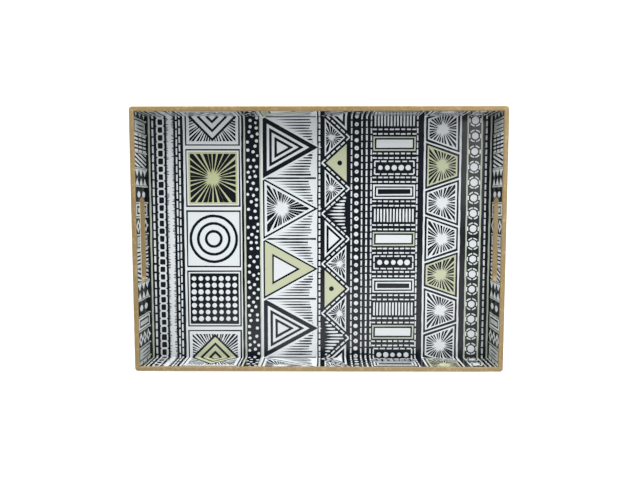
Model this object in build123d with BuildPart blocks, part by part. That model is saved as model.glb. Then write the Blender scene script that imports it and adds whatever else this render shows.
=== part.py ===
"""Rectangular serving tray: four mitred walls round a base panel, hand slots in both ends, and a printed
lining on the floor and the inner walls. Millimetres, +Z up, origin on the ground under the tray's centre."""

import os

from build123d import *

# Overall size.
length = 450.0
width = 320.0
height = 45.0

# Boards: every board is cut from the same sheet, and the walls lap over the edge of the base panel.
board = 6.0
rabbet = 3.0
corner_radius = 4.0
rim_radius = 1.5

# Hand slots, one in the middle of each end wall.
slot_length = 106.0
slot_height = 17.0
slot_drop = 22.5  # from the rim to the middle of the slot
slot_edge_radius = 1.0

# Printed lining.
lining = 0.3
lining_drop = 2.0  # from the rim to the top edge of the lining

# Headed pins that hold the joints.
shank_diameter = 1.2
head_diameter = 2.2
head_thickness = 0.8
pin_length = 16.0
corner_pin_heights = (15.0, 33.0)
long_wall_pins = (4, 110.0)  # how many pins into the base panel, and their spacing
end_wall_pins = (3, 100.0)

lip = board - rabbet
inner_length = length - 2 * board
inner_width = width - 2 * board
slot_middle = height - slot_drop
pin_steps = ((head_diameter / 2, head_thickness), (shank_diameter / 2, pin_length))
lining_top = height - lining_drop

# Each wall: its name, the turn about Z that brings its outside to face -Y, its outer length, and how far its
# outside stands from the centre.
walls = [
    ("front", 0, length, width / 2),
    ("right", 90, width, length / 2),
    ("back", 180, length, width / 2),
    ("left", 270, width, length / 2),
]
end_walls = ("left", "right")


def tray_plane(turn):
    """The ground plane, turned so that the wall in question stands along its -Y side."""
    return Plane.XY.rotated((0, 0, turn))


def outer_face(turn, reach):
    """The outside of a wall: local X along the wall, local Y up, and its normal pointing out of the tray."""
    ground = tray_plane(turn)
    return Plane(origin=ground.y_dir * -reach, x_dir=ground.x_dir, z_dir=-ground.y_dir)


def finish(piece, name):
    """Labels one finished piece and writes it."""
    piece.label = name
    export_step(piece, f"parts/{name}.step")


os.makedirs("parts", exist_ok=True)

# Pins through the long walls into the ends of the end walls.
with BuildPart() as corner_brads:
    for name, turn, run, reach in walls:
        if name in end_walls:
            continue
        places = [(side * (run - board) / 2, z) for side in (-1, 1) for z in corner_pin_heights]
        for radius, depth in pin_steps:
            with BuildSketch(outer_face(turn, reach)):
                with Locations(*places):
                    Circle(radius)
            extrude(amount=-depth)
finish(corner_brads.part, "corner_brads")

# Pins through all four walls into the edges of the base panel.
with BuildPart() as base_brads:
    for name, turn, run, reach in walls:
        count, spacing = end_wall_pins if name in end_walls else long_wall_pins
        for radius, depth in pin_steps:
            with BuildSketch(outer_face(turn, reach)):
                with Locations((0, board / 2)):
                    with GridLocations(spacing, 0, count, 1):
                        Circle(radius)
            extrude(amount=-depth)
finish(base_brads.part, "base_brads")

# The base panel sits in the rabbet, flush with the bottom of the walls.
with BuildPart() as base_panel:
    with BuildSketch(Plane.XY):
        Rectangle(length - 2 * lip, width - 2 * lip)
    extrude(amount=board)
    add(base_brads.part, mode=Mode.SUBTRACT)
finish(base_panel.part, "base_panel")

# The four walls, mitred at the corners.
for name, turn, run, reach in walls:
    ground = tray_plane(turn)
    with BuildPart() as wall:
        with BuildSketch(ground):
            with BuildLine():
                Polyline(
                    (-run / 2, -reach),
                    (run / 2, -reach),
                    (run / 2 - board, board - reach),
                    (board - run / 2, board - reach),
                    close=True,
                )
            make_face()
            RectangleRounded(run, 2 * reach, corner_radius, mode=Mode.INTERSECT)
        extrude(amount=height)
        rim_outline = wall.faces().sort_by(Axis.Z)[-1].edges()
        along = rim_outline.filter_by(Axis((0, 0, 0), ground.x_dir))
        fillet(along + rim_outline.filter_by(GeomType.CIRCLE), rim_radius)
        with BuildSketch(ground):
            Rectangle(run - 2 * lip, 2 * reach - 2 * lip)
        extrude(amount=board, mode=Mode.SUBTRACT)
        if name in end_walls:
            with BuildSketch(outer_face(turn, reach)):
                with Locations((0, slot_middle)):
                    SlotOverall(slot_length, slot_height)
            extrude(amount=-board, mode=Mode.SUBTRACT)
            through = Axis((0, 0, 0), ground.y_dir)
            slot_outline = wall.edges(Select.LAST).filter_by(through, reverse=True)
            fillet(slot_outline, slot_edge_radius)
        add(corner_brads.part, mode=Mode.SUBTRACT)
        add(base_brads.part, mode=Mode.SUBTRACT)
    finish(wall.part, f"{name}_wall")

# The floor lining covers the base panel between the wall linings.
with BuildPart() as floor_print:
    with BuildSketch(Plane.XY.offset(board)):
        Rectangle(inner_length - 2 * lining, inner_width - 2 * lining)
    extrude(amount=lining)
finish(floor_print.part, "floor_print")

# The wall linings stand on the base panel. Those of the long walls run the full inner length, and those of
# the end walls fit between them and stop round the hand slots.
for name, turn, run, reach in walls:
    sheet_length = inner_width - 2 * lining if name in end_walls else inner_length
    with BuildPart() as wall_print:
        with BuildSketch(outer_face(turn, reach - board)):
            with Locations((0, (board + lining_top) / 2)):
                Rectangle(sheet_length, lining_top - board)
            if name in end_walls:
                with Locations((0, slot_middle)):
                    SlotOverall(
                        slot_length + 2 * slot_edge_radius,
                        slot_height + 2 * slot_edge_radius,
                        mode=Mode.SUBTRACT,
                    )
        extrude(amount=-lining)
    finish(wall_print.part, f"{name}_wall_print")
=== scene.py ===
"""The looks of a decorated serving tray: boards in gold-tan paint, and a printed lining of black, white and
olive bands that covers the floor and runs on up the inner walls."""

import math
import random

import bmesh
import bpy
import numpy as np
from mathutils import Matrix, Vector
from mathutils.geometry import delaunay_2d_cdt


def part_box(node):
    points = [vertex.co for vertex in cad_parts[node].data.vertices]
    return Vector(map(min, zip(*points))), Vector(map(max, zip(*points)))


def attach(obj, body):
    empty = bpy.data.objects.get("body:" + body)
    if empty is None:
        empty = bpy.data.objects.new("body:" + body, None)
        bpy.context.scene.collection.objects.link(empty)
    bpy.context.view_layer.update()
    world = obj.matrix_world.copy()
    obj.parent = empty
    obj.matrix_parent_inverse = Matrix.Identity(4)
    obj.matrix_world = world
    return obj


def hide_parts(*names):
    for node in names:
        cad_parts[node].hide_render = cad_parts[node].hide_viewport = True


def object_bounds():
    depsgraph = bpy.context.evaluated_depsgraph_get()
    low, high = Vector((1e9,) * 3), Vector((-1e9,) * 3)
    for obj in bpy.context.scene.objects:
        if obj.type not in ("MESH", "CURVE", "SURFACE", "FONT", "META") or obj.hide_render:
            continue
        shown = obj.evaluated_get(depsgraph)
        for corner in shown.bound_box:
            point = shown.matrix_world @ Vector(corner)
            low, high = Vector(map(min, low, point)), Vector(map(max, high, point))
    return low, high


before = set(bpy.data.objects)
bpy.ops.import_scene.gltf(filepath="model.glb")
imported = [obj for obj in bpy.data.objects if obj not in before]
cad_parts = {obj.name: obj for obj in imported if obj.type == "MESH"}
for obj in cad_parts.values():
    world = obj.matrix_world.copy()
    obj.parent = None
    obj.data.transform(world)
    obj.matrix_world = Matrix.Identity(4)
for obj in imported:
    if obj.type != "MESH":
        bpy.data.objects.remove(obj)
cad_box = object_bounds()
rim_height = cad_box[1].z
rng = random.Random(11)

# ---------------------------------------------------------------------------------------------------------
# The printed pattern, in millimetres on the flat sheet: u runs to the right and v to the back, from the
# middle of the tray. The wall linings are flaps of the same sheet, so u and v run on past the creases and up
# the walls. Shapes are kept in painting order, and a later shape covers an earlier one.
# ---------------------------------------------------------------------------------------------------------

sheet_end = 192.0  # v at the top edge of the long walls
sheet_side = 257.0  # u at the top edge of the end walls
beyond = 500.0  # past every edge of the sheet, for shapes that are then clipped
shapes = []


def paint(ink, points, wobble=0.15):
    """Adds one inked shape, its corners a little off true, as in a hand-cut print."""
    if len(points) > 2:
        moved = [(u + rng.uniform(-wobble, wobble), v + rng.uniform(-wobble, wobble)) for u, v in points]
        shapes.append((ink, moved))


def mixed(a, b, share):
    """The point that lies this share of the way from a to b."""
    return a[0] + (b[0] - a[0]) * share, a[1] + (b[1] - a[1]) * share


def polar(centre, radius, angle):
    """The point at this radius and angle from a centre."""
    return centre[0] + radius * math.cos(angle), centre[1] + radius * math.sin(angle)


def box(left, right, low, high):
    """A rectangle, anticlockwise."""
    return [(left, low), (right, low), (right, high), (left, high)]


def rounded(outline, corner):
    """An outline with its corners cut off."""
    points = []
    for p, q, r in zip(outline[-1:] + outline[:-1], outline, outline[1:] + outline[:1]):
        points += [mixed(q, p, corner / math.dist(p, q)), mixed(q, r, corner / math.dist(q, r))]
    return points


def middle_of(outline):
    """The mean of an outline's corners."""
    return sum(p[0] for p in outline) / len(outline), sum(p[1] for p in outline) / len(outline)


def doubled_area(outline):
    """Twice the area of an outline, positive if it runs anticlockwise."""
    return sum(a[0] * b[1] - b[0] * a[1] for a, b in zip(outline, outline[1:] + outline[:1]))


def inset(outline, distance):
    """A convex anticlockwise outline, moved in by a distance on every side."""
    lines = []
    for a, b in zip(outline, outline[1:] + outline[:1]):
        run = math.dist(a, b)
        normal = ((a[1] - b[1]) / run, (b[0] - a[0]) / run)
        lines.append((normal, normal[0] * a[0] + normal[1] * a[1] + distance))
    corners = []
    for (n, c), (m, d) in zip(lines[-1:] + lines[:-1], lines):
        cross = n[0] * m[1] - n[1] * m[0]
        corners.append(((c * m[1] - d * n[1]) / cross, (n[0] * d - m[0] * c) / cross))
    return corners


def clipped(points, outline):
    """The part of a shape that lies inside a convex anticlockwise outline."""
    for a, b in zip(outline, outline[1:] + outline[:1]):
        depths = [(b[0] - a[0]) * (p[1] - a[1]) - (b[1] - a[1]) * (p[0] - a[0]) for p in points]
        kept = []
        for p, q, depth, next_depth in zip(points, points[1:] + points[:1], depths, depths[1:] + depths[:1]):
            if depth >= 0:
                kept.append(p)
            if (depth >= 0) != (next_depth >= 0):
                kept.append(mixed(p, q, depth / (depth - next_depth)))
        points = kept
    return points


def cut_to(field, first):
    """Cuts every shape from this one on to a field."""
    for i in range(first, len(shapes)):
        ink, points = shapes[i]
        shapes[i] = (ink, clipped(points, field))
    shapes[first:] = [shape for shape in shapes[first:] if len(shape[1]) > 2]


def stroke(ink, start, end, width, wobble=0.18):
    """A line with edges that wave slightly."""
    run = math.dist(start, end)
    steps = max(1, round(run / 8))
    side = ((start[1] - end[1]) / run * width / 2, (end[0] - start[0]) / run * width / 2)
    line = [mixed(start, end, i / steps) for i in range(steps + 1)]
    one_edge = [(u - side[0], v - side[1]) for u, v in line]
    other_edge = [(u + side[0], v + side[1]) for u, v in reversed(line)]
    paint(ink, one_edge + other_edge, wobble)


def dashes(ink, start, end, width, dash=6.4, gap=2.1):
    """A line of dashes of slightly uneven length."""
    run = math.dist(start, end)
    count = max(1, round((run + gap) / (dash + gap)))
    pitch = (run + gap) / count
    for i in range(count):
        first = (i * pitch + rng.uniform(-0.35, 0.35)) / run
        last = (i * pitch + pitch - gap + rng.uniform(-0.35, 0.35)) / run
        stroke(ink, mixed(start, end, max(first, 0)), mixed(start, end, min(last, 1)), width)


def around(draw, ink, outline, width):
    """Draws a line, solid or dashed, along every side of an outline."""
    for a, b in zip(outline, outline[1:] + outline[:1]):
        draw(ink, a, b, width)


def disc(ink, centre, radius):
    """A round spot."""
    fewest_sides = 9
    sides = max(fewest_sides, round(radius * 3))
    turn = rng.uniform(0, math.tau)
    ring = [polar(centre, radius, turn + math.tau * i / sides) for i in range(sides)]
    paint(ink, ring, min(0.15, radius * 0.06))


def scattered_dots(ink, place, radii, gap, tries):
    """Dots with a gap between them, from the largest down, each where the function place puts it."""
    placed = []
    for i in range(tries):
        radius = radii[1] - (radii[1] - radii[0]) * i / tries
        spot = place(radius)
        if all(math.dist(spot, other) > radius + size + gap for other, size in placed):
            placed.append((spot, radius))
            disc(ink, spot, radius)


def arc_block(ink, centre, inner, outer, start, end):
    """A piece of a ring between two angles."""
    steps = max(1, round((end - start) * outer / 3))
    angles = [start + (end - start) * i / steps for i in range(steps + 1)]
    edge = [polar(centre, outer, a) for a in angles]
    paint(ink, edge + [polar(centre, inner, a) for a in reversed(angles)])


def arc_blocks(ink, centre, inner, outer, count, share):
    """A ring of evenly spaced blocks that fill this share of it."""
    for i in range(count):
        middle = math.tau * (i + rng.uniform(-0.06, 0.06)) / count
        half = math.pi * share / count
        arc_block(ink, centre, inner, outer, middle - half, middle + half)


def burst(ink, outline, centre, count, inner, share=0.68):
    """Rays that start as points round the centre, widen outward and end on the outline."""
    for i in range(count):
        angle = math.tau * (i + rng.uniform(-0.15, 0.15)) / count
        half = math.pi * share / count * rng.uniform(0.82, 1.18)
        tip = inner * rng.uniform(0.8, 1.3)
        full = tip * 1.6
        ray = [polar(centre, tip, angle)]
        ray += [polar(centre, full, angle - half), polar(centre, beyond, angle - half)]
        ray += [polar(centre, beyond, angle + half), polar(centre, full, angle + half)]
        paint(ink, clipped(ray, outline), 0.1)


def stripes(ink, outline, angle, pitch, share=0.5):
    """Stripes that cross an outline at an angle. Each starts as a point and widens as it goes."""
    along = (math.cos(angle), math.sin(angle))
    across = (-along[1], along[0])

    def place(run, level):
        return along[0] * run + across[0] * level, along[1] * run + across[1] * level

    levels = [u * across[0] + v * across[1] for u, v in outline]
    count = round((max(levels) - min(levels)) / pitch)
    for i in range(count):
        level = min(levels) + (i + 0.5) * pitch
        half = pitch * share / 2 * rng.uniform(0.7, 1.25)
        strip = [place(-beyond, level - half), place(beyond, level - half)]
        strip += [place(beyond, level + half), place(-beyond, level + half)]
        runs = [u * along[0] + v * along[1] for u, v in clipped(strip, outline)]
        if len(runs) > 2:
            reach = max(runs) - min(runs)
            tip = min(runs) + reach * rng.uniform(0, 0.1)
            reach *= rng.uniform(0.82, 0.9)
            edge = [(0.3, 0.75), (0.7, 1.0), (1.0, rng.uniform(0.5, 1.0))]
            stripe = [place(tip, level)] + [place(tip + reach * r, level - half * h) for r, h in edge]
            stripe += [place(tip + reach * r, level + half * h) for r, h in reversed(edge)]
            paint(ink, stripe, 0.1)


# Bands that run the whole length of the sheet.


def plain_band(ink, middle, width):
    """A solid band with gently waving edges."""
    stroke(ink, (middle, -sheet_end), (middle, sheet_end), width, 0.25)


def dashed_band(middle, width=1.9, dash=6.6):
    """A column of white dashes."""
    dashes("white", (middle, -sheet_end), (middle, sheet_end), width, dash)


def chain_band(middle, width=10.0, pitch=9.8):
    """White rounded links, one after another, each with a dark rounded hole."""
    half = width / 2
    for i in range(-20, 21):
        v = i * pitch
        paint("white", rounded(box(middle - half, middle + half, v - pitch / 2, v + pitch / 2), 1.4))
        stroke("white", (middle, v), (middle, v + pitch), width * 0.6)
    for i in range(-20, 21):
        wide = half - rng.uniform(1.7, 2.3)
        tall = pitch / 2 - rng.uniform(1.0, 1.5)
        v = i * pitch
        paint("black", rounded(box(middle - wide, middle + wide, v - tall, v + tall), 0.8), 0.25)


def comb_band(left, right, pitch=1.9):
    """A white band whose two edges are cut into fine uneven teeth."""
    plain_band("white", (left + right) / 2, right - left)
    for i in range(round(2 * sheet_end / pitch)):
        v = -sheet_end + pitch * i
        for edge, inward in ((left, 1), (right, -1)):
            foot = edge - inward * 0.6
            tip = edge + inward * rng.choice((0.5, 0.9, 1.4, 2.0, 2.8))
            lean = rng.uniform(-0.4, 0.4)
            narrow_end = [(tip, v + lean - 0.35), (tip, v + lean + 0.35)]
            paint("black", [(foot, v - 0.75)] + narrow_end + [(foot, v + 0.75)], 0.08)


def dotted_band(left, right):
    """White dots scattered over a dark band."""
    def place(radius):
        return rng.uniform(left + radius, right - radius), rng.uniform(-sheet_end, sheet_end)

    scattered_dots("white", place, (1.5, 2.1), 2.5, 4000)


def bead_band(middle, first, pitch=9.86):
    """A column of white beads, some with a dark centre."""
    for i in range(-4, 36):
        centre = (middle + rng.uniform(-0.3, 0.3), first - pitch * i)
        disc("white", centre, rng.uniform(2.5, 3.0))
        if i % 3:
            disc("black", centre, 0.65)


def ringed_spot_band(middle, first, pitch=19.4):
    """A column of white spots, each inside a broken ring."""
    for i in range(-2, 18):
        centre = (middle + rng.uniform(-0.4, 0.4), first - pitch * i)
        disc("white", centre, rng.uniform(4.2, 4.8))
        arc_blocks("white", centre, 6.3, 7.9, 6, 0.74)


# The column of square panels.


def burst_panel(field, ink):
    """Dark rays from the middle of a square."""
    paint(ink, field)
    burst("black", inset(field, 2.4), middle_of(field), 30, 7, 0.72)


def rings_panel(field, ink):
    """Rings one inside another on a white square."""
    centre = middle_of(field)
    for i, radius in enumerate((31, 27.5, 21.5, 18, 11.5, 8)):
        disc(("black", ink)[i % 2], centre, radius)


def diamond_panel(field, ink):
    """Diamonds one inside another, with rays out to the sides of the square."""
    centre = middle_of(field)
    burst("black", inset(field, 2), centre, 56, 17, 0.62)
    for i, reach in enumerate((31, 27, 20, 16, 9, 5)):
        paint(("black", ink)[i % 2], [polar(centre, reach, math.pi / 2 * k) for k in range(4)])


def dotted_panel(field, ink):
    """Rows of dots on a dark square."""
    paint("black", field)
    u, v = middle_of(field)
    for row in range(-3, 4):
        for column in range(-3, 4):
            disc(ink, (u + 8.7 * column, v + 8.7 * row), rng.uniform(2.8, 3.5))


def panel_band(left, right):
    """Equal square panels one above another on a white ground, each in a dark outline."""
    plain_band("white", (left + right) / 2, right - left)
    pitch = 77.0
    panels = ((diamond_panel, "olive"), (dotted_panel, "white"), (rings_panel, "white"),
              (burst_panel, "deep_olive"), (diamond_panel, "white"))
    for i, (draw, ink) in enumerate(panels):
        low = (i - 2.5) * pitch
        outline = box(left + 2.6, right - 1.6, low + 2.2, low + pitch - 2.2)
        paint("black", outline, 0.3)
        paint("white", inset(outline, 1.8), 0.3)
        draw(inset(outline, 3.4), ink)


# The column of large triangles that point to the right.


def framed_triangle(outline):
    """An olive triangle with a white one in a dark outline at its middle."""
    paint("olive", outline)
    paint("black", inset(outline, 9), 0.3)
    paint("white", inset(outline, 11.2))


def sunray_triangle(outline):
    """A white triangle with dark rays from its middle."""
    paint("white", outline)
    burst("black", inset(outline, 2.9), middle_of(outline), 36, 7, 0.72)


def nested_triangle(outline):
    """Dark and white triangles in turn, one inside another."""
    for i in range(6):
        paint(("black", "white")[i % 2], inset(outline, 3.2 * i))


def triangle_band(left, right):
    """Equal triangles one above another, with stripes in the corners that they leave."""
    plain_band("white", (left + right) / 2, right - left)
    pitch = 77.0
    draws = (sunray_triangle, nested_triangle, framed_triangle)
    for i in range(6):
        bottom = (i - 3) * pitch
        top = bottom + pitch
        tip = bottom + pitch / 2
        stroke("black", (left, bottom), (right - 1.5, bottom), 2.3)
        outline = [(left + 1.4, bottom + 3.4), (right - 3.4, tip), (left + 1.4, top - 3.4)]
        upper = inset([(left + 1.4, top), (right - 2, tip), (right - 2, top)], 2.6)
        lower = inset([(left + 1.4, bottom), (right - 2, bottom), (right - 2, tip)], 2.6)
        stripes("black", upper, 0, 3.5, 0.56)
        stripes("black", lower, 0, 3.5, 0.56)
        paint("white", inset(outline, -4.4))
        paint("black", inset(outline, -2.1), 0.25)
        draws[i % len(draws)](outline)


# The column of small triangles between zigzag lines.


def nested_shape(outline):
    """A white shape with a dark one and a white one inside it."""
    for ink, depth in (("white", 0), ("black", 2.2), ("white", 5.0)):
        paint(ink, inset(outline, depth))


def rayed_shape(outline):
    """A white shape with dark rays from its middle."""
    paint("white", outline)
    burst("black", inset(outline, 1.7), middle_of(outline), 20, 3, 0.66)


def striped_shape(outline):
    """White stripes side by side on the dark ground."""
    stripes("white", outline, 0, 4.2, 0.6)


def spotted_shape(outline):
    """An olive shape with a dark spot."""
    paint("olive", outline)
    disc("black", middle_of(outline), 3.2)


def zigzag_band(left, right):
    """A dashed zigzag line from side to side, with a triangle in each of its bays."""
    rise = 32.0
    draws = (rayed_shape, nested_shape, striped_shape, rayed_shape, spotted_shape)
    turns = [((left, right)[i % 2], (i - 7) * rise) for i in range(15)]
    for i, bay in enumerate(zip(turns, turns[1:], turns[2:])):
        outline = list(bay) if doubled_area(bay) > 0 else list(bay[::-1])
        draws[i % len(draws)](inset(outline, 3.6))
    for start, end in zip(turns, turns[1:]):
        dashes("white", start, end, 1.9)


# The column of low rectangles.


def spots_block(centre, wide, tall):
    """A row of white spots in a dashed frame."""
    u, v = centre
    around(dashes, "white", box(u - wide + 1.8, u + wide - 1.8, v - tall + 0.8, v + tall - 0.8), 1.7)
    for i in range(-2, 3):
        disc("white", (u + i * wide * 0.33, v), rng.uniform(2.9, 3.8))


def bars_block(centre, wide, tall):
    """A row of upright white bars."""
    u, v = centre
    for i in range(-6, 7):
        bar = u + i * wide * 0.152
        stroke("white", (bar, v - tall + 0.6), (bar, v + tall - 0.6), 2.1)


def plain_block(centre, wide, tall):
    """A white bar in a pale frame."""
    u, v = centre
    outline = box(u - wide, u + wide, v - tall, v + tall)
    for ink, depth in (("pale", 0), ("black", 1.6), ("white", 3.8)):
        paint(ink, inset(outline, depth), 0.25)


def nested_block(centre, wide, tall):
    """White rectangles one inside another."""
    u, v = centre
    outline = box(u - wide, u + wide, v - tall, v + tall)
    for ink, depth in (("white", 0), ("black", 2.0), ("white", 3.9), ("black", 5.8)):
        paint(ink, inset(outline, depth), 0.2)


def block_column(left, right):
    """Low rectangles of equal height one above another, with dashed lines between them."""
    middle = (left + right) / 2
    wide = (right - left) / 2
    pitch = 30.0
    blocks = (nested_block, spots_block, plain_block, bars_block)
    for i in range(13):
        v = (i - 6) * pitch
        blocks[i % len(blocks)]((middle, v), wide, 8.8)
        for level in (-12.2, 12.2):
            dashes("white", (left - 1, v + level), (right + 1, v + level), 1.8, 5.4, 2.0)


# The column of bursts between slanting lines.


def burst_column(left, right):
    """Equal cells, each with a bright burst, between white lines that slant one way and the other in turn."""
    pitch = 46.0
    for i in range(9):
        low = (i - 4.5) * pitch
        high = low + pitch
        slant = 8.0 if i % 2 else -8.0
        outline = [(left, low + slant), (right, low - slant), (right, high + slant), (left, high - slant)]
        cell = inset(outline, 3.6)
        paint("white" if i % 3 else "olive", cell, 0.3)
        burst("black", inset(cell, 1.9), middle_of(cell), 28, 6, 0.66)
        stroke("white", (left - 1, low + slant), (right + 1, low - slant), 2.0)


# The band of small mixed blocks on the end walls.


def slanted_cell(left, right, low, high):
    """White bars that slant across the wall."""
    first_new = len(shapes)
    drop = 11.0
    pitch = 5.4
    for i in range(math.ceil((high - low + drop) / pitch) + 1):
        v = low + pitch * i
        stroke("white", (left, v), (right, v - drop), 2.7)
    cut_to(box(left + 1.5, right - 1.5, low + 1.6, high - 1.6), first_new)


def spotted_cell(left, right, low, high):
    """Two broad white spots on the dark ground."""
    v = (low + high) / 2
    for share in (0.28, 0.7):
        u = left + (right - left) * share
        paint("white", rounded(box(u - 5.2, u + 5.2, v - 3.6, v + 3.6), 2.6))


def diamond_cell(left, right, low, high):
    """A row of white diamonds with dark centres."""
    half = (right - left) / 6
    tall = (high - low) / 2 - 2
    v = (low + high) / 2
    for i in range(3):
        u = left + half * (2 * i + 1)
        for ink, size in (("white", 1.0), ("black", 0.45)):
            wide = half * size
            reach = tall * size
            paint(ink, [(u - wide, v), (u, v - reach), (u + wide, v), (u, v + reach)])


def lined_cell(left, right, low, high):
    """A pale block with dark lines across it."""
    outline = box(left + 2, right - 2, low + 2.2, high - 2.2)
    paint("pale_grey", outline)
    stripes("black", inset(outline, 1), 0, 4.6, 0.4)


def framed_cell(left, right, low, high):
    """Frames one inside another."""
    outline = box(left + 1.4, right - 1.4, low + 1.8, high - 1.8)
    for ink, depth in (("white", 0), ("black", 2.2), ("pale_grey", 4.4)):
        paint(ink, inset(outline, depth))


def toothed_cell(left, right, low, high):
    """Broad teeth that point to each other across a dark gap."""
    pitch = (right - left) / 3
    v = (low + high) / 2
    for i in range(3):
        u = left + pitch * i
        paint("white", [(u + 0.8, low + 1.4), (u + pitch - 0.8, low + 1.4), (u + pitch / 2, v - 0.6)])
        paint("white", [(u + pitch / 2, v + 0.8), (u + pitch, high - 1.4), (u, high - 1.4)])


def barred_cell(left, right, low, high):
    """Three columns of short white bars."""
    count = round((high - low) / 4.8)
    width = (right - left) / 3
    for i in range(count):
        v = low + (high - low) * (i + 0.5) / count
        for column in range(3):
            u = left + width * column
            stroke("white", (u + 1.4, v), (u + width - 1.4, v), 2.5)


def cell_band(left, right):
    """Small blocks of differing height between pale lines, from the front to the back."""
    cells = ((slanted_cell, 19), (barred_cell, 23), (lined_cell, 17), (diamond_cell, 21), (framed_cell, 18),
             (spotted_cell, 20), (toothed_cell, 22))
    low = -sheet_end
    for i in range(19):
        draw, height = cells[i % len(cells)]
        high = low + height
        draw(left, right, low, high)
        stroke("pale", (left, high), (right, high), 1.8)
        low = high


def print_sheet():
    """Paints every band of the pattern, from left to right."""
    cell_band(-sheet_side, -217)
    plain_band("pale", -213.9, 2.1)
    dashed_band(-209.3, 2.2, 8.5)
    chain_band(-199.8)
    comb_band(-192.2, -183.2)
    dashed_band(-179.5, 1.8, 9.0)
    dashed_band(-175.7, 1.8, 8.2)
    panel_band(-171.2, -97.8)
    plain_band("pale", -93.8, 2.3)
    plain_band("black", -83.7, 18.0)
    dotted_band(-92.0, -75.4)
    plain_band("pale", -73.7, 2.4)
    triangle_band(-70.2, -2.2)
    plain_band("black", -1.0, 1.6)
    dashed_band(0.8, 2.1, 5.8)
    zigzag_band(3.8, 38.6)
    dashed_band(41.2, 1.7)
    bead_band(47.5, 154.0)
    dashed_band(54.2, 1.7)
    dashed_band(60.2, 2.1)
    dashed_band(66.0, 1.7)
    block_column(68.6, 121.6)
    dashed_band(124.0, 1.7)
    plain_band("white", 133.2, 2.2)
    burst_column(133.2, 178.0)
    plain_band("white", 178.0, 2.2)
    plain_band("green_black", 195.8, 17.0)
    plain_band("pale", 187.2, 2.0)
    ringed_spot_band(195.8, 149.0)
    plain_band("pale", 204.6, 1.9)
    dashed_band(210.4, 2.0)
    plain_band("pale", 216.2, 2.0)
    cell_band(219.5, sheet_side)


print_sheet()

# ---------------------------------------------------------------------------------------------------------
# Materials
# ---------------------------------------------------------------------------------------------------------


def linear(red, green, blue):
    """A colour given in ordinary 0 to 255 numbers, none under 11, as the shader wants it."""
    return tuple(((c / 255 + 0.055) / 1.055) ** 2.4 for c in (red, green, blue)) + (1.0,)


def new_material(name):
    """A material with its nodes, its links and its shader, and the object's own coordinates in metres."""
    material = bpy.data.materials.new(name)
    material.use_nodes = True
    nodes = material.node_tree.nodes
    links = material.node_tree.links
    place = nodes.new("ShaderNodeTexCoord").outputs["Object"]
    return material, nodes, links, nodes["Principled BSDF"], place


def noise(nodes, links, place, scale, detail=4.0, stretch=None):
    """Noise of this many features to the metre, longer along an axis if stretched."""
    texture = nodes.new("ShaderNodeTexNoise")
    texture.inputs["Scale"].default_value = scale
    texture.inputs["Detail"].default_value = detail
    if stretch:
        mapping = nodes.new("ShaderNodeMapping")
        mapping.inputs["Scale"].default_value = stretch
        links.new(place, mapping.inputs["Vector"])
        place = mapping.outputs["Vector"]
    links.new(place, texture.inputs["Vector"])
    return texture.outputs["Fac"]


def ramp(nodes, links, value, from_low, from_high, low, high):
    """Brings a value from one range to another and keeps it within that."""
    node = nodes.new("ShaderNodeMapRange")
    node.inputs["From Min"].default_value = from_low
    node.inputs["From Max"].default_value = from_high
    node.inputs["To Min"].default_value = low
    node.inputs["To Max"].default_value = high
    links.new(value, node.inputs["Value"])
    return node.outputs["Result"]


def spread(nodes, links, value, low, high):
    """Brings noise, which lies mostly between 0.3 and 0.7, to a range of its own."""
    return ramp(nodes, links, value, 0.3, 0.7, low, high)


def height_of(nodes, links, place):
    """The Z part of a place or of a direction."""
    parts = nodes.new("ShaderNodeSeparateXYZ")
    links.new(place, parts.inputs["Vector"])
    return parts.outputs["Z"]


def bump(nodes, links, height, distance, strength=1.0, below=None):
    """Raises the surface by up to this distance in metres, on top of the bump below if there is one."""
    node = nodes.new("ShaderNodeBump")
    node.inputs["Strength"].default_value = strength
    node.inputs["Distance"].default_value = distance
    links.new(height, node.inputs["Height"])
    if below:
        links.new(below, node.inputs["Normal"])
    return node.outputs["Normal"]


def ink_material(name, colour):
    """Flat ink on paper under a clear semi-gloss lacquer that lies a little uneven."""
    material, nodes, links, shader, place = new_material(name)
    shader.inputs["Base Color"].default_value = colour
    rough = spread(nodes, links, noise(nodes, links, place, 55), 0.13, 0.2)
    links.new(rough, shader.inputs["Roughness"])
    shader.inputs["Specular IOR Level"].default_value = 0.24
    waves = bump(nodes, links, noise(nodes, links, place, 40, 2.0), 0.0004, 0.16)
    grain = bump(nodes, links, noise(nodes, links, place, 900, 3.0), 0.00006, 0.35, waves)
    links.new(grain, shader.inputs["Normal"])
    return material


def mixed_colour(nodes, links, share, first, second):
    """Mixes two colours. Either of them is a constant or another node's output."""
    mix = nodes.new("ShaderNodeMix")
    mix.data_type = "RGBA"
    links.new(share, mix.inputs["Factor"])
    for socket, colour in (("A", first), ("B", second)):
        if isinstance(colour, tuple):
            mix.inputs[socket].default_value = colour
        else:
            links.new(colour, mix.inputs[socket])
    return mix.outputs["Result"]


def both(nodes, links, first, second):
    """The product of two masks."""
    product = nodes.new("ShaderNodeMath")
    product.operation = "MULTIPLY"
    links.new(first, product.inputs[0])
    links.new(second, product.inputs[1])
    return product.outputs["Value"]


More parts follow.
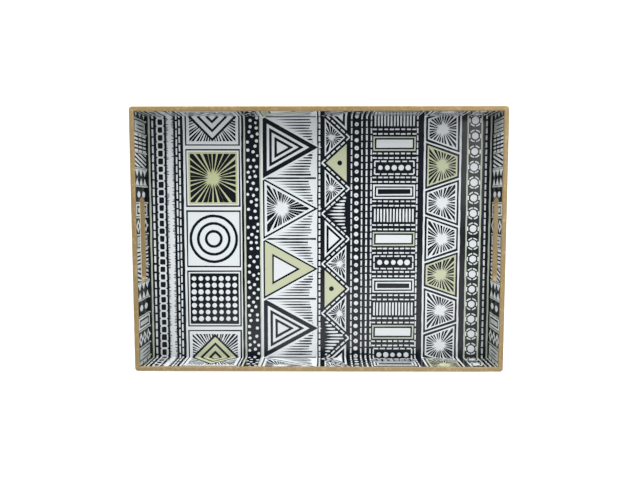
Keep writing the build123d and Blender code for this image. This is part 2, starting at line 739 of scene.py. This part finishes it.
def paint_material(name, light, dark, roughness, stretch, scuffing):
    """Satin metallic-tan paint with faint streaks along the board, rubbed thin in spots along the rim and
    scuffed along the bottom edge."""
    rubbed_depth = 0.0012  # below the rim
    scuffed_height = 0.0025  # above the ground
    rubbed_gold = linear(163, 142, 105)
    scuffed_gold = linear(104, 88, 62)
    material, nodes, links, shader, place = new_material(name)
    clouds = spread(nodes, links, noise(nodes, links, place, 30, 6.0), 0.2, 0.8)
    colour = mixed_colour(nodes, links, clouds, dark, light)
    streaks = noise(nodes, links, place, 420, 3.0, stretch)
    colour = mixed_colour(nodes, links, spread(nodes, links, streaks, 0.0, 0.25), colour, dark)
    rubbed = spread(nodes, links, noise(nodes, links, place, 260, 5.0), -1.0, 0.7)
    height = height_of(nodes, links, place)
    on_rim = ramp(nodes, links, height, rim_height - rubbed_depth, rim_height, 0, 1)
    colour = mixed_colour(nodes, links, both(nodes, links, rubbed, on_rim), colour, rubbed_gold)
    scuffed = spread(nodes, links, noise(nodes, links, place, 130, 5.0), -scuffing, scuffing)
    at_bottom = ramp(nodes, links, height, 0.0, scuffed_height, 1, 0)
    colour = mixed_colour(nodes, links, both(nodes, links, scuffed, at_bottom), colour, scuffed_gold)
    links.new(colour, shader.inputs["Base Color"])
    shader.inputs["Metallic"].default_value = 0.2
    rough = spread(nodes, links, noise(nodes, links, place, 160), roughness - 0.08, roughness + 0.1)
    links.new(rough, shader.inputs["Roughness"])
    fibres = bump(nodes, links, noise(nodes, links, place, 700, 5.0), 0.0001, 0.5)
    brushed = bump(nodes, links, streaks, 0.00008, 0.5, fibres)
    links.new(brushed, shader.inputs["Normal"])
    return material


def floor_material():
    """Pale seamless studio floor, faintly lit from below so that shadows on it stay pale."""
    material, nodes, links, shader, place = new_material("studio_floor")
    shader.inputs["Base Color"].default_value = (0.92, 0.92, 0.92, 1.0)
    shader.inputs["Emission Color"].default_value = (1.0, 1.0, 1.0, 1.0)
    shader.inputs["Emission Strength"].default_value = 0.22
    rough = spread(nodes, links, noise(nodes, links, place, 6), 0.75, 0.9)
    links.new(rough, shader.inputs["Roughness"])
    return material


inks = {
    "black": ink_material("ink_black", linear(15, 19, 26)),
    "green_black": ink_material("ink_green_black", linear(14, 23, 21)),
    "white": ink_material("ink_white", linear(193, 197, 199)),
    "olive": ink_material("ink_olive", linear(168, 172, 145)),
    "deep_olive": ink_material("ink_deep_olive", linear(164, 168, 132)),
    "pale": ink_material("ink_pale_green", linear(164, 171, 156)),
    "pale_grey": ink_material("ink_pale_grey", linear(166, 173, 171)),
}
ink_order = list(inks)
along_x = (0.08, 1, 1)
along_y = (1, 0.08, 1)
light_gold = linear(139, 119, 80)
dark_gold = linear(125, 105, 69)
board_paint = {
    "base_panel": paint_material("gold_paint_base", light_gold, dark_gold, 0.46, along_x, 0.5),
    "front_wall": paint_material("gold_paint_long_walls", light_gold, dark_gold, 0.38, along_x, 1.0),
    "left_wall": paint_material("gold_paint_end_walls", light_gold, dark_gold, 0.38, along_y, 1.0),
    "corner_brads": paint_material("painted_pin_heads", dark_gold, linear(112, 94, 62), 0.5, along_x, 0.5),
}
board_paint["back_wall"] = board_paint["front_wall"]
board_paint["right_wall"] = board_paint["left_wall"]
board_paint["base_brads"] = board_paint["corner_brads"]

# ---------------------------------------------------------------------------------------------------------
# The lining: each face of the tray takes its own part of the sheet.
# ---------------------------------------------------------------------------------------------------------

MM = 0.001
floor_low, floor_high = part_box("floor_print")
lining = floor_high.z - floor_low.z
crease_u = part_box("right_wall_print")[0].x / MM
crease_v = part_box("back_wall_print")[0].y / MM
flap = (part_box("back_wall_print")[1].z - floor_high.z) / MM
slot_length = 108.0
slot_height = 19.0
slot_middle = 22.5 - floor_high.z / MM  # up the wall from the lining of the floor


def slot_outline(middle_u):
    """The opening in the lining of an end wall, round-ended and long in v."""
    radius = slot_height / 2
    reach = slot_length / 2 - radius
    steps = 12
    far = [polar((middle_u, reach), radius, math.pi * i / steps) for i in range(steps + 1)]
    near = [polar((middle_u, -reach), radius, math.pi + math.pi * i / steps) for i in range(steps + 1)]
    return far + near


def inside(points, us, vs):
    """Which of the places (us, vs) lie inside an outline."""
    crossings = np.zeros(len(us), bool)
    for (u0, v0), (u1, v1) in zip(points, points[1:] + points[:1]):
        if v0 != v1:
            spans = (v0 > vs) != (v1 > vs)
            crossings ^= spans & (us < u0 + (vs - v0) * (u1 - u0) / (v1 - v0))
    return crossings


def lining_piece(name, stands_for, field, hole, place):
    """Cuts one field out of the sheet, gives each patch the ink of the topmost shape over it, and sets it in
    place as a thin closed sheet. place turns a point (u, v) into a point of the tray."""
    left, right, low, high = field
    wanted = [("black", box(left, right, low, high))]
    for ink, points in shapes:
        us = [u for u, v in points]
        vs = [v for u, v in points]
        if min(us) < right and max(us) > left and min(vs) < high and max(vs) > low:
            wanted.append((ink, points))
    if hole:
        wanted.append((None, hole))
    corners, sides = [], []
    for ink, points in wanted:
        first = len(corners)
        corners += [Vector(p) for p in points]
        sides += [(first + i, first + (i + 1) % len(points)) for i in range(len(points))]
    cut = delaunay_2d_cdt(corners, sides, [], 0, 0.002, False)
    ends = np.array(cut[0])
    patches = np.array(cut[2])
    us, vs = ends[patches].mean(axis=1).T
    order = np.argsort(us)
    us, vs, patches = us[order], vs[order], patches[order]
    slots = np.full(len(patches), -1)
    for ink, points in wanted:
        first, last = np.searchsorted(us, (min(p[0] for p in points), max(p[0] for p in points)))
        hit = inside(points, us[first:last], vs[first:last])
        slots[first:last][hit] = ink_order.index(ink) if ink else -1
    kept = (slots >= 0) & inside(wanted[0][1], us, vs)
    mesh = bpy.data.meshes.new(name)
    mesh.from_pydata([place(u, v) for u, v in ends], [], patches[kept].tolist())
    for ink in ink_order:
        mesh.materials.append(inks[ink])
    mesh.polygons.foreach_set("material_index", slots[kept])
    bare = bmesh.new()
    bare.from_mesh(mesh)
    bmesh.ops.delete(bare, geom=[v for v in bare.verts if not v.link_faces], context="VERTS")
    bare.to_mesh(mesh)
    bare.free()
    piece = bpy.data.objects.new(name, mesh)
    bpy.context.scene.collection.objects.link(piece)
    thickness = piece.modifiers.new("thickness", "SOLIDIFY")
    thickness.thickness = lining * 0.9
    thickness.offset = -1
    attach(piece, "root")
    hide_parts(stands_for)


def make_lining():
    """Sets the floor's part of the sheet and its four flaps in place."""
    floor_z = floor_high.z
    slot_u = crease_u + slot_middle
    lining_piece(
        "floor_lining",
        "floor_print",
        (-crease_u, crease_u, -crease_v, crease_v),
        None,
        lambda u, v: (u * MM, v * MM, floor_z),
    )
    lining_piece(
        "left_wall_lining",
        "left_wall_print",
        (-crease_u - flap, -crease_u, -crease_v, crease_v),
        slot_outline(-slot_u),
        lambda u, v: (-crease_u * MM, v * MM, floor_z - (u + crease_u) * MM),
    )
    lining_piece(
        "right_wall_lining",
        "right_wall_print",
        (crease_u, crease_u + flap, -crease_v, crease_v),
        slot_outline(slot_u),
        lambda u, v: (crease_u * MM, v * MM, floor_z + (u - crease_u) * MM),
    )
    lining_piece(
        "front_wall_lining",
        "front_wall_print",
        (-crease_u, crease_u, -crease_v - flap, -crease_v),
        None,
        lambda u, v: (u * MM, -crease_v * MM, floor_z - (v + crease_v) * MM),
    )
    lining_piece(
        "back_wall_lining",
        "back_wall_print",
        (-crease_u, crease_u, crease_v, crease_v + flap),
        None,
        lambda u, v: (u * MM, crease_v * MM, floor_z + (v - crease_v) * MM),
    )


make_lining()

# ---------------------------------------------------------------------------------------------------------
# The boards and pins keep their modelled shape.
# ---------------------------------------------------------------------------------------------------------

for name, finish in board_paint.items():
    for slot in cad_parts[name].material_slots:
        slot.material = finish

# ---------------------------------------------------------------------------------------------------------
# Studio: pale floor, soft lights, and the camera above the tray
# ---------------------------------------------------------------------------------------------------------


def studio_floor():
    """A flat square of floor under the tray."""
    half = 4.0
    mesh = bpy.data.meshes.new("studio_floor")
    corners = [(-half, -half, 0), (half, -half, 0), (half, half, 0), (-half, half, 0)]
    mesh.from_pydata(corners, [], [(0, 1, 2, 3)])
    mesh.materials.append(floor_material())
    floor = bpy.data.objects.new("studio_floor", mesh)
    bpy.context.scene.collection.objects.link(floor)


def soft_light(name, place, target, size, power, in_reflections=True):
    """A rectangular area light that faces its target. It can be kept out of the lacquer's reflections."""
    data = bpy.data.lights.new(name, "AREA")
    data.shape = "RECTANGLE"
    data.size, data.size_y = size
    data.energy = power
    lamp = bpy.data.objects.new(name, data)
    lamp.location = place
    lamp.rotation_euler = (Vector(target) - Vector(place)).to_track_quat("-Z", "Y").to_euler()
    lamp.visible_glossy = in_reflections
    bpy.context.scene.collection.objects.link(lamp)


def surroundings():
    """Soft light from all round, bright near the horizon and dim overhead, as among white screens."""
    world = bpy.data.worlds.new("studio")
    world.use_nodes = True
    nodes = world.node_tree.nodes
    links = world.node_tree.links
    direction = nodes.new("ShaderNodeTexCoord").outputs["Generated"]
    at_horizon = 2.0
    overhead = 0.15
    strength = ramp(nodes, links, height_of(nodes, links, direction), 0, 1, at_horizon, overhead)
    nodes["Background"].inputs["Color"].default_value = (0.96, 0.98, 1.0, 1.0)
    links.new(strength, nodes["Background"].inputs["Strength"])
    bpy.context.scene.world = world


def studio():
    """The floor, the surroundings and the lamps."""
    studio_floor()
    surroundings()
    centre = (0, 0, 0.02)
    soft_light("back_right", (1.0, 1.55, 1.1), centre, (1.9, 1.2), 19)
    soft_light("back_left", (-1.1, 1.5, 1.1), centre, (1.9, 1.2), 21)
    soft_light("low_back", (0.0, 1.6, 0.5), centre, (2.0, 0.6), 25, in_reflections=False)
    soft_light("low_front", (0.1, -1.6, 0.85), centre, (1.4, 0.5), 5)
    soft_light("overhead_front", (0.15, -0.62, 1.5), centre, (1.3, 0.7), 5.6)
    soft_light("window", (0.775, 0.365, 1.55), (0.775, 0.365, 0), (0.39, 0.77), 4.4)
    bpy.context.scene.view_settings.view_transform = "Standard"


def camera():
    """Above the tray and a little to the back, close, with a wide lens."""
    height_above_rim = 0.6254
    place = Vector((0.0056, 0.0458, rim_height + height_above_rim))
    target = Vector((0.0017, 0.0014, rim_height))
    data = bpy.data.cameras.new("camera")
    data.sensor_width = 36
    data.lens = 29.4
    data.clip_start = 0.01
    view = bpy.data.objects.new("camera", data)
    view.location = place
    back = (place - target).normalized()
    right = Vector((0, 1, 0)).cross(back).normalized()
    view.rotation_euler = Matrix((right, back.cross(right), back)).transposed().to_euler()
    bpy.context.scene.collection.objects.link(view)
    bpy.context.scene.camera = view


studio()
camera()
